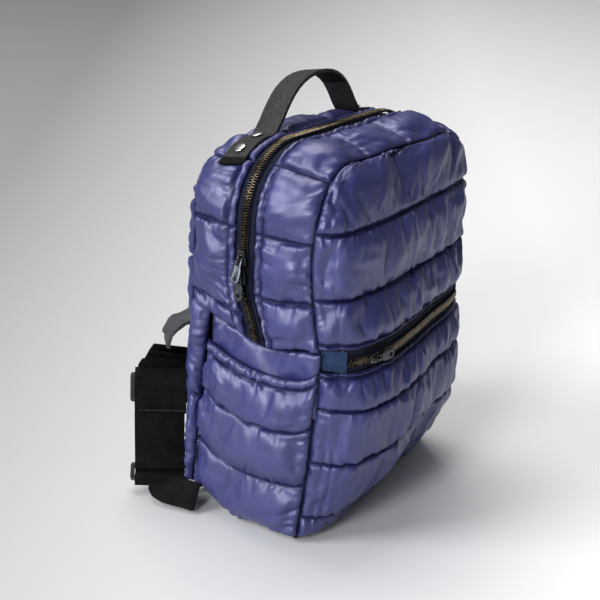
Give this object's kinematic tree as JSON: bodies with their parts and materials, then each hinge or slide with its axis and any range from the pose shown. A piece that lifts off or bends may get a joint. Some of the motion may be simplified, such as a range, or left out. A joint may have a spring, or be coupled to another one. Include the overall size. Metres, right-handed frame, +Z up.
{
  "type": "quilted puffer backpack",
  "caption": "Quilted puffer backpack with a wrap-over main zipper, a zipped front pocket, open side pockets, a top handle and adjustable shoulder straps.",
  "frame": {"origin": "middle of the footprint of everything built, on the surface that the bag stands on", "axes": "front panel towards -Y, straps and back towards +Y, width along X, +Z up"},
  "size_m": [0.2802, 0.2166, 0.3587],
  "materials": {
    "quilt": "glossy navy nylon",
    "tape": "woven matt tape",
    "teeth": "aged brass",
    "teal_tab": "woven ribbed ribbon",
    "slider": "glossy black enamel",
    "pull": "satin gunmetal",
    "handle": "grained charcoal faux leather",
    "rivet": "satin nickel",
    "strap": "charcoal faux leather",
    "webbing": "black woven webbing",
    "buckle": "satin black plastic"
  },
  "bodies": {
    "bag": {"front_lower_panel": "quilt", "front_upper_panel": "quilt", "back_panel": "quilt", "bottom_panel": "quilt", "top_strip_front": "quilt", "top_strip_back": "quilt", "left_side_panel": "quilt", "left_side_pocket": "quilt", "left_back_roll": "quilt", "right_side_panel": "quilt", "right_side_pocket": "quilt", "right_back_roll": "quilt", "main_zip_tape": "tape", "front_zip_tape": "tape", "main_zip_teeth": "teeth", "front_zip_teeth": "teeth", "front_zip_tab_left": "teal_tab", "front_zip_tab_right": "teal_tab", "main_upper_slider": "slider", "main_lower_slider": "slider", "front_slider": "slider", "top_handle": "handle", "left_rivet_inner": "rivet", "left_rivet_outer": "rivet", "left_shoulder_strap": "strap", "left_webbing": "webbing", "left_anchor_tab": "webbing", "left_tri_glide": "buckle", "left_strap_ring": "buckle", "right_rivet_inner": "rivet", "right_rivet_outer": "rivet", "right_shoulder_strap": "strap", "right_webbing": "webbing", "right_anchor_tab": "webbing", "right_tri_glide": "buckle", "right_strap_ring": "buckle"},
    "main_upper_pull": {"main_upper_pull": "pull"},
    "main_lower_pull": {"main_lower_pull": "pull"},
    "front_pull": {"front_pull": "pull"}
  },
  "joints": [
    {"name": "main_upper_pull_hinge", "type": "hinge", "parent": "bag", "child": "main_upper_pull", "pos_m": [-0.12224, 0.0006, 0.231], "axis": [0, 1, 0], "range_deg": [0, 130]},
    {"name": "main_lower_pull_hinge", "type": "hinge", "parent": "bag", "child": "main_lower_pull", "pos_m": [-0.12224, 0.0006, 0.2165], "axis": [0, 1, 0], "range_deg": [0, 42]},
    {"name": "front_pull_hinge", "type": "hinge", "parent": "bag", "child": "front_pull", "pos_m": [-0.07434, -0.10091, 0.16192], "axis": [0, 0, -1], "range_deg": [0, 150]}
  ]
}
